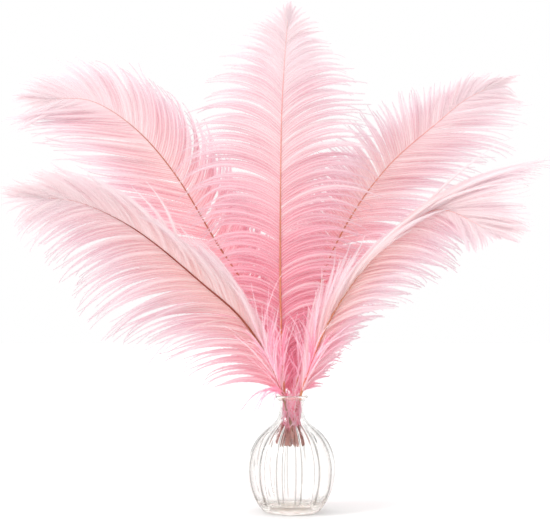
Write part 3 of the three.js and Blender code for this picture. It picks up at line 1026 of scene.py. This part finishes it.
def barbules(paths, half, frames, tone, edge_shade, rng, each_side, shag):
    """Slim triangles on both sides of every barb, swept towards its tip."""
    count, stations = paths.shape[:2]
    side = np.tile([-1.0, 1.0], each_side)
    at = np.repeat(np.linspace(*BARBULE_SPAN, each_side), 2)
    at = np.clip(at + rng.uniform(-BARBULE_SHIFT, BARBULE_SHIFT, (count, 2 * each_side)), 0, 0.999)
    station = (at * (stations - 1)).astype(int)
    between = (at * (stations - 1) - station)[..., None]
    barb = np.arange(count)[:, None]
    root = paths[barb, station] * (1 - between) + paths[barb, station + 1] * between
    go, over, up = (frame[barb, station] for frame in frames)
    sweep = np.radians(through(BARBULE_SWEEP, at) + rng.normal(0, 7, at.shape))
    past = through(BARBULE_REACH, at) * rng.uniform(*BARBULE_LENGTHS, at.shape) * shag
    length = ((half[barb, station] + past) / np.sin(np.maximum(sweep, 0.2)) * MM)[..., None]
    sweep = sweep[..., None]
    lift = rng.normal(*BARBULE_LIFT, (*at.shape, 1)) * up
    tip = root + length * (np.cos(sweep) * go + np.sin(sweep) * over * side[:, None] + lift)
    base = go * (BARBULE_WIDTH * MM / 2)
    mirror = side[:, None] > 0
    low, high = root - base, root + base
    vertices = np.stack([np.where(mirror, high, low), np.where(mirror, low, high), tip], axis=2)
    along = np.repeat(at.reshape(-1), 3)
    along[2::3] = np.clip(along[2::3] + 0.02, 0, 1)
    map_side = np.stack([0.5 + 0.12 * side, 0.5 + 0.12 * side, 0.5 + 0.4 * side], -1).reshape(-1)
    rise, spread = BARBULE_TONE
    tones = tone[:, None] + rise + rng.normal(0, spread, at.shape)
    # painted shade at the barbules' tips, stronger where the barb's edges are shaded
    tones = np.stack([tones, tones, tones - BARBULE_TIP_SHADE - 0.6 * edge_shade[:, None]], -1)
    return {
        "vertices": vertices.reshape(-1, 3),
        "faces": np.arange(count * each_side * 6).reshape(-1, 3),
        "barb": np.repeat(np.arange(count), each_side * 6),
        "barb_share": along,
        "tone": tones.reshape(-1),
        "map_side": np.tile(map_side, count),
    }


def strands(paths, half, plume_share, tone, edge_shade, face, rng, each_side, shag=1):
    """Ribbons with barbules on them: arrays of vertices, triangles, values and a flat map."""
    along = unit(np.gradient(paths, axis=1))
    flat = unit(np.cross(along, face[:, None]))
    upright = np.cross(flat, along)
    roll = rng.normal(0, ROLL, len(paths))[:, None, None]
    across = flat * np.cos(roll) + upright * np.sin(roll)
    normal = upright * np.cos(roll) - flat * np.sin(roll)
    webs = ribbons(paths, half, across, normal, tone, edge_shade)
    hairs = barbules(paths, half, (along, across, normal), tone, edge_shade, rng, each_side, shag)
    hairs["faces"] += len(webs["vertices"])
    both = {key: np.concatenate([webs[key], hairs[key]]) for key in webs}
    both["plume_share"] = plume_share[both["barb"]]
    return both


def join_strands(parts):
    """One set of arrays from several, with vertices and barbs numbered on."""
    joined = {}
    for key in parts[0]:
        joined[key] = [part[key] for part in parts]
    vertices = np.cumsum([0] + [len(v) for v in joined["vertices"]])
    barbs = np.cumsum([0] + [b.max() + 1 for b in joined["barb"]])
    joined["faces"] = [faces + start for faces, start in zip(joined["faces"], vertices)]
    joined["barb"] = [barb + start for barb, start in zip(joined["barb"], barbs)]
    return {key: np.concatenate(values) for key, values in joined.items()}


def fibre_piece(name, data):
    """A mesh object from strands' arrays, with their values as attributes and a flat map of its own."""
    mesh = bpy.data.meshes.new(name)
    mesh.from_pydata(data["vertices"], [], data["faces"])
    for key in ("barb_share", "plume_share", "tone"):
        mesh.attributes.new(key, "FLOAT", "POINT").data.foreach_set("value", data[key].astype(np.float32))
    rows = math.ceil((data["barb"].max() + 1) / MAP_COLUMNS)
    column, row = data["barb"] % MAP_COLUMNS, data["barb"] // MAP_COLUMNS
    across = (column + data["map_side"]) / MAP_COLUMNS
    upward = (row + 0.02 + 0.96 * data["barb_share"]) / rows
    flat = np.stack([across, upward], -1)
    corners = data["faces"].reshape(-1)
    mesh.uv_layers.new(name="OFBake").data.foreach_set("uv", flat[corners].astype(np.float32).reshape(-1))
    piece = bpy.data.objects.new(name, mesh)
    bpy.context.scene.collection.objects.link(piece)
    return piece


print("a barb of the vane has", 2 * BARBULES, "barbules")

# %% [markdown]
# Low on a shaft the barbs are down: longer, looser and all round it. Inside the neck the down is crushed into
# a soft plug that holds the bouquet, a few wisps hang over the rim, and short fuzz is left on the quill ends.

# %% Down, the plug in the neck, wisps and fuzz
DOWN_BARBS = 64
DOWN_BARBULES = 110
LONG_DOWN = (28, 78)  # millimetres, from the shortest to the longest
PLUG_STRANDS = 34
PLUG_LOW = (73, 88)  # millimetres: where the plug's strands begin, and where they end
PLUG_HIGH = (98, 112)
PLUG_RADIUS = 9.5
PLUG_BARBULES = 60
PLUG_SHAG = 0.5  # how long the plug's hairs are beside a barb's
FUZZ_LINES = 9
FUZZ_SPREAD = 1.6  # how far out its outer lines stand, in radii of the quill
FUZZ_TOP = 0.055  # as a share of the route
FUZZ_SHAG = 1.8  # how much longer its hairs are than a barb's
WISP = [(-7, -6.5, 105.5), (-15, -10, 111), (-26, -14, 106), (-36, -17, 88)]
WISPS = 14


def base_down(plume, spine, rng):
    """Long loose barbs all round the lowest barbed part of a shaft."""
    share = plume["barbed"] + rng.uniform(-0.01, 0.11, DOWN_BARBS)
    place, forward, face, right = spine.at(share)
    around = rng.uniform(0, 2 * np.pi, (DOWN_BARBS, 1))
    out = right * np.cos(around) + face * np.sin(around)
    spread = lambda low, high: np.radians(rng.uniform(low, high, DOWN_BARBS))
    return grow(
        place, forward, np.cross(forward, out), out,
        rng.uniform(*plume.get("down", LONG_DOWN), DOWN_BARBS) * MM,
        spread(4, 24), spread(8, 60), spread(-8, 8), spread(-20, 20), spread(-20, 20), spread(-6, 6),
    )


def neck_plug(rng):
    """Strands that are pressed together inside the neck."""
    u = np.linspace(0, 1, 14)
    low = rng.uniform(*PLUG_LOW, (PLUG_STRANDS, 1))
    high = rng.uniform(*PLUG_HIGH, (PLUG_STRANDS, 1))
    radius = PLUG_RADIUS * np.sqrt(rng.uniform(0.05, 1, (PLUG_STRANDS, 1)))
    turn = rng.uniform(0, 2 * np.pi, (PLUG_STRANDS, 1))
    turn = turn + rng.normal(0, 0.5, (PLUG_STRANDS, 1)) * np.sin(u * 6)
    radius = radius * (0.86 + 0.14 * np.sin(u * 7 + low))
    return np.stack([radius * np.cos(turn), radius * np.sin(turn), low + (high - low) * u], -1) * MM


def quill_fuzz(spine, rng):
    """Lines along the cut end of a quill for short fuzz to stand on."""
    share = np.linspace(0.002, FUZZ_TOP, 12)
    place, forward, face, right = spine.at(share)
    around = (np.arange(FUZZ_LINES) * 2 * np.pi / FUZZ_LINES)[:, None, None]
    out = QUILL_RADIUS * rng.uniform(1, FUZZ_SPREAD, (FUZZ_LINES, 1, 1)) * MM
    return place + (right * np.cos(around) + face * np.sin(around)) * out


def rim_wisps(rng):
    """Wisps that lean over the rim and hang beside the neck."""
    stations = np.array(WISP) + rng.normal(0, 1, (WISPS, 1, 3)) * np.array([[0.6], [1.5], [3.5], [6]])
    stations[:, :, 0] += rng.uniform(-0.3, 0.15, (WISPS, 1)) * np.array([0, 8, 16, 26])
    return np.stack([through(wisp, np.linspace(0, 1, 24)) for wisp in stations]) * MM


def loose_strands(paths, tone, spread, width, each_side, rng, shag=1):
    """Strands that face any way, with tones drawn at random, for the down, the wisps and the fuzz."""
    count, stations = paths.shape[:2]
    face = unit(rng.normal(0, 1, (count, 3)))
    tones = tone + rng.normal(0, spread, count)
    half = width * (1 - 0.7 * smooth_step(0.3, 1, np.linspace(0, 1, stations))) * np.ones((count, 1))
    # loose strands get a middling painted shade on their edges
    return strands(paths, half, np.zeros(count), tones, np.full(count, 0.5), face, rng, each_side, shag)


print("each plume gets", DOWN_BARBS, "strands of down and", PLUG_STRANDS, "of the plug in the neck")

# %% [markdown]
# The pink is deepest where the barbs crowd together, low on the plume and close to the shaft, and the tips
# stay
# pale: partly dye, and partly painted light, the deeper pink that light takes as it bounces between crowded
# pink threads. Every barb has a tone of its own, at random, so neighbours read as separate threads; the tone
# also carries the painted highlights and painted shade of the ribs. Light passes through such thin threads,
# so half of the surface is a translucent shader and half is a soft matt one. The down and the fuzz shine
# faintly, a painted glow that stands for the light that the ribbed glass gathers round them.

# %% Dyed barbs, with painted highlights and painted shade
DYE_INPUTS = {"Barb Share": 0.5, "Plume Share": 0.5, "Tone": 0.0, "Depth": 0.5, "Warmth": 0.5}
PALE = (0.945, 0.87, 0.9)
PINK = (0.935, 0.75, 0.785)
PEACH = (0.95, 0.75, 0.7)
# painted light in part: the deep pink low on a plume is dye and the deeper colour of bounced light
DEEP_PINK = (0.98, 0.5, 0.63)
# painted highlights are among the palest barbs
LIGHT_PINK = (0.965, 0.88, 0.89)  # what the palest barbs turn to
# painted shade: the rib edges and barbule tips, with barbs darker at random, are multiplied by this
DUSKY_SHADE = (0.87, 0.55, 0.64)  # what the darkest are multiplied by
TIP_MAUVE = (0.74, 0.54, 0.6)


def plume_dye_and_shading():
    """A node group that gives a barb's colour from its place on the plume, its tone and the depth of its
    pink.
    """
    group = bpy.data.node_groups.new("plume_dye_and_shading", "ShaderNodeTree")
    for name, value in DYE_INPUTS.items():
        socket = group.interface.new_socket(name, in_out="INPUT", socket_type="NodeSocketFloat")
        socket.default_value = value
    group.interface.new_socket("Color", in_out="OUTPUT", socket_type="NodeSocketColor")
    source = group.nodes.new("NodeGroupInput")
    barb, plume, tone, depth, warmth = source.outputs[:5]
    outward = maths(group, "MULTIPLY", barb, 1.25)
    upward = maths(group, "MULTIPLY_ADD", plume, 2.2, -1.1)
    body = blend_colours(group, maths(group, "MAXIMUM", outward, upward, clamp=True), PINK, PALE)
    inner = maths(group, "SUBTRACT", 1.0, maths(group, "MULTIPLY", barb, 1.8), clamp=True)
    high = maths(group, "MULTIPLY_ADD", plume, -2.0, 1.9, clamp=True)
    near_shaft = maths(group, "MULTIPLY", inner, maths(group, "MULTIPLY", warmth, high))
    body = blend_colours(group, near_shaft, body, PEACH)
    # partly dye, partly painted bounce light: deeper pink low on the plume and near the shaft
    low = maths(group, "SUBTRACT", depth, maths(group, "MULTIPLY", plume, 1.5), clamp=True)
    inward = maths(group, "SUBTRACT", 1.2, maths(group, "MULTIPLY", barb, 0.7))
    deep_dye_and_bounce = maths(group, "MULTIPLY", low, inward, clamp=True)
    body = blend_colours(group, deep_dye_and_bounce, body, DEEP_PINK)
    # paler barbs and painted highlights
    paler_and_highlit = maths(group, "MULTIPLY", maths(group, "MAXIMUM", tone, 0.0), 0.35, clamp=True)
    body = blend_colours(group, paler_and_highlit, body, LIGHT_PINK)
    # painted shade, with barbs darker at random
    below = maths(group, "MAXIMUM", maths(group, "MULTIPLY", tone, -1.0), 0.0)
    darker = maths(group, "MULTIPLY", below, 0.36, clamp=True)
    body = blend_colours(group, darker, body, DUSKY_SHADE, "MULTIPLY")
    tip = maths(group, "MULTIPLY_ADD", barb, 4.0, -3.0, clamp=True)
    long_ones = maths(group, "MULTIPLY_ADD", plume, -4.0, 3.6, clamp=True)
    tip = maths(group, "MULTIPLY", tip, maths(group, "MULTIPLY", long_ones, 0.6))
    tip = maths(group, "MULTIPLY", tip, maths(group, "MULTIPLY_ADD", tone, -0.9, 1.1, clamp=True))
    body = blend_colours(group, tip, body, TIP_MAUVE)
    result = group.nodes.new("NodeGroupOutput")
    group.links.new(body, result.inputs[0])
    return group


dye_and_shading = plume_dye_and_shading()
THREAD_ROUGHNESS = 0.6
THREAD_SHINE = 0.25


def soft_threads(tree, shader, output, colour, glow):
    """Colours threads: a soft matt surface, mixed with one that lets light through."""
    tree.links.new(colour, shader.inputs["Base Color"])
    set_inputs(shader, {"Roughness": THREAD_ROUGHNESS, "Specular IOR Level": THREAD_SHINE})
    through_light = add_node(tree, "ShaderNodeBsdfTranslucent")
    tree.links.new(colour, through_light.inputs[0])
    both = add_node(tree, "ShaderNodeMixShader")
    both.inputs[0].default_value = glow
    tree.links.new(shader.outputs[0], both.inputs[1])
    tree.links.new(through_light.outputs[0], both.inputs[2])
    tree.links.new(both.outputs[0], output.inputs["Surface"])


def barb_material(name, depth, warmth):
    """The dye, painted highlights and painted shade of one plume's barbs, from the values that every barb
    carries.
    """
    material, tree, shader, output = new_material(name)
    mix = add_node(tree, "ShaderNodeGroup", node_tree=dye_and_shading)
    for key, socket in (("barb_share", 0), ("plume_share", 1), ("tone", 2)):
        value = add_node(tree, "ShaderNodeAttribute", attribute_name=key)
        tree.links.new(value.outputs["Fac"], mix.inputs[socket])
    set_inputs(mix, {"Depth": depth, "Warmth": warmth})
    soft_threads(tree, shader, output, mix.outputs[0], 0.5)
    return material


def tone_material(name, stops, glow, gathered=0):
    """Threads that differ only from one to the next, and may shine faintly with gathered light."""
    material, tree, shader, output = new_material(name)
    tone = add_node(tree, "ShaderNodeAttribute", attribute_name="tone")
    place = maths(tree, "MULTIPLY_ADD", tone.outputs["Fac"], 0.3, 0.5, clamp=True)
    colour = ramp(tree, place, stops)
    tree.links.new(colour, shader.inputs["Emission Color"])
    shader.inputs["Emission Strength"].default_value = gathered
    soft_threads(tree, shader, output, colour, glow)
    return material


FUZZ_STOPS = [
    (0, (0.36, 0.09, 0.07)),
    (0.45, (0.72, 0.3, 0.24)),
    (0.75, (0.93, 0.6, 0.54)),
    (1, (0.98, 0.84, 0.8)),
]
DOWN_STOPS = [
    (0, (0.68, 0.14, 0.24)),
    (0.4, (0.97, 0.46, 0.61)),
    (0.7, (0.98, 0.66, 0.78)),
    (1, (0.99, 0.86, 0.91)),
]
tan_fuzz = tone_material("tan_fuzz", FUZZ_STOPS, 0.2, 0.05)
deep_down = tone_material("deep_pink_down", DOWN_STOPS, 0.5, 0.11)
DEPTHS = {"centre": 0.97, "rear_left": 0.95, "rear_right": 0.88, "front_left": 0.42, "front_right": 0.44}
WARMTHS = {"centre": 0.35, "rear_left": 0.7, "rear_right": 0.7, "front_left": 0.8, "front_right": 0.9}
print("the dye is mixed from:", ", ".join(DYE_INPUTS))

# %% Grow the five plumes
def finish_fibres(piece, name, material):
    """Gives a fibre piece its material and body, and hides the node that it stands for."""
    piece.data.materials.append(material)
    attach(piece, "root")
    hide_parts("feather_" + name)
    print(piece.name, len(piece.data.polygons), "triangles")


for seed, (name, plume) in enumerate(PLUMES.items()):
    rng = np.random.default_rng(40 + seed)
    spine = spines[name]
    dyed_and_shaded = barb_material("dyed_and_shaded_barbs_" + name, DEPTHS[name], WARMTHS[name])
    sides = []
    for side in ("left", "right"):
        paths, share, tone, fluff, edge_shade = vane(plume, spine, side, rng)
        face = spine.at(plume["barbed"] + (1 - plume["barbed"]) * share)[2]
        sides.append(strands(paths, web_width(paths, fluff), share, tone, edge_shade, face, rng, BARBULES))
    finish_fibres(fibre_piece("barbs_" + name, join_strands(sides)), name, dyed_and_shaded)

    down = [
        loose_strands(base_down(plume, spine, rng), 1.4, 0.7, 0.22, DOWN_BARBULES, rng),
        loose_strands(neck_plug(rng), 0.6, 1.2, 0.35, PLUG_BARBULES, rng, PLUG_SHAG),
    ]
    if name == "front_left":
        down.append(loose_strands(rim_wisps(rng), 0.6, 0.4, 0.34, PLUG_BARBULES, rng))
    finish_fibres(fibre_piece("down_" + name, join_strands(down)), name, deep_down)

    fuzz = loose_strands(quill_fuzz(spine, rng), 0.0, 1.3, 0.35, PLUG_BARBULES, rng, FUZZ_SHAG)
    finish_fibres(fibre_piece("fuzz_" + name, fuzz), name, tan_fuzz)
